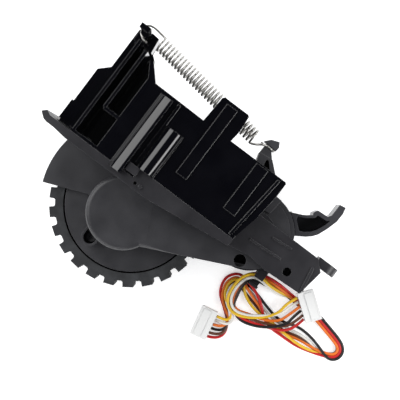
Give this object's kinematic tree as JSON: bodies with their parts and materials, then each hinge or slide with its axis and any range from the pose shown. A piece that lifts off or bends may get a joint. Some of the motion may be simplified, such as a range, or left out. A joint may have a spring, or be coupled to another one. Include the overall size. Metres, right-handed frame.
{
  "type": "robot vacuum wheel module",
  "caption": "Spring-loaded robot vacuum drive wheel: lugged tyre on a geared swing arm in a flanged frame, with a spring, a wheel guard and a six-wire lead.",
  "frame": {"origin": "where the swing arm's pivot axis meets the flat outer side, on which the module lies", "axes": "+X along the mounting flange towards the screw ear, +Y up in the robot, +Z along the wheel's axis towards the robot's middle"},
  "size_m": [0.1648, 0.1002, 0.054],
  "materials": {
    "frame_black": "fine matte moulding",
    "bracket_black": "satin",
    "housing_gloss": "high gloss",
    "casing_black": "fine matte moulding",
    "cap_grey": "satin",
    "tyre_rubber": "matte rubber",
    "rim_grey": "satin",
    "screw_steel": "black zinc",
    "steel": "ground",
    "motor_steel": "plated",
    "spring_steel": "bright drawn wire",
    "brass": "turned",
    "gear_white": "natural acetal",
    "magnet": "sintered",
    "board_green": "solder mask",
    "switch_black": "matte",
    "plunger_white": "satin",
    "connector_white": "satin nylon",
    "wire_yellow": "satin sheath",
    "wire_white": "satin sheath",
    "wire_orange": "satin sheath",
    "wire_black": "satin sheath",
    "wire_brown": "satin sheath",
    "wire_red": "satin sheath"
  },
  "bodies": {
    "frame": {"base_frame": "frame_black", "housing": "housing_gloss", "guide_bracket": "bracket_black", "housing_screws": "screw_steel", "switch_body": "switch_black", "spring": "spring_steel", "wire_yellow": "wire_yellow", "wire_white": "wire_white", "wire_orange": "wire_orange", "wire_black": "wire_black", "wire_brown": "wire_brown", "wire_red": "wire_red", "connector_a": "connector_white", "connector_b": "connector_white"},
    "arm": {"gearbox_rear_shell": "casing_black", "gearbox_cover": "casing_black", "wheel_guard": "casing_black", "spring_lever": "casing_black", "motor_can": "motor_steel", "barrel_cap": "cap_grey", "encoder_board": "board_green", "gear_pins": "steel", "casing_screws": "screw_steel", "output_bush": "brass"},
    "wheel": {"tyre": "tyre_rubber", "wheel_rim": "rim_grey", "hub_screw": "screw_steel", "output_shaft": "steel", "output_gear": "gear_white"},
    "second_gear": {"second_gear": "gear_white"},
    "first_gear": {"first_gear": "gear_white"},
    "rotor": {"motor_shaft": "steel", "motor_pinion": "brass", "encoder_disc": "magnet"},
    "plunger": {"switch_plunger": "plunger_white"}
  },
  "joints": [
    {"name": "arm_swing", "type": "hinge", "parent": "frame", "child": "arm", "pos_m": [0, 0, 0], "axis": [0, 0, 1], "range_deg": [-30, 0], "stiffness_Nm_per_rad": 0.19, "springref_deg": 74.48, "deforming": ["spring"]},
    {"name": "wheel_spin", "type": "hinge", "parent": "arm", "child": "wheel", "pos_m": [-0.0474, -0.0222, 0], "axis": [0, 0, 1], "continuous": true},
    {"name": "second_gear_spin", "type": "hinge", "parent": "arm", "child": "second_gear", "pos_m": [-0.02853, -0.01336, 0], "axis": [0, 0, 1], "continuous": true},
    {"name": "first_gear_spin", "type": "hinge", "parent": "arm", "child": "first_gear", "pos_m": [-0.01449, -0.00679, 0], "axis": [0, 0, 1], "continuous": true},
    {"name": "motor_spin", "type": "hinge", "parent": "arm", "child": "rotor", "pos_m": [0, 0, 0], "axis": [0, 0, 1], "continuous": true},
    {"name": "plunger_slide", "type": "slide", "parent": "frame", "child": "plunger", "axis": [1, 0, 0], "range_m": [0, 0.0009]}
  ],
  "couplings": [
    {"joint": "second_gear_spin", "follows": "wheel_spin", "ratio": -3.3333},
    {"joint": "first_gear_spin", "follows": "wheel_spin", "ratio": 10.444},
    {"joint": "motor_spin", "follows": "wheel_spin", "ratio": -37.302},
    {"joint": "plunger_slide", "follows": "arm_swing", "m_per_rad": -0.0017189}
  ]
}
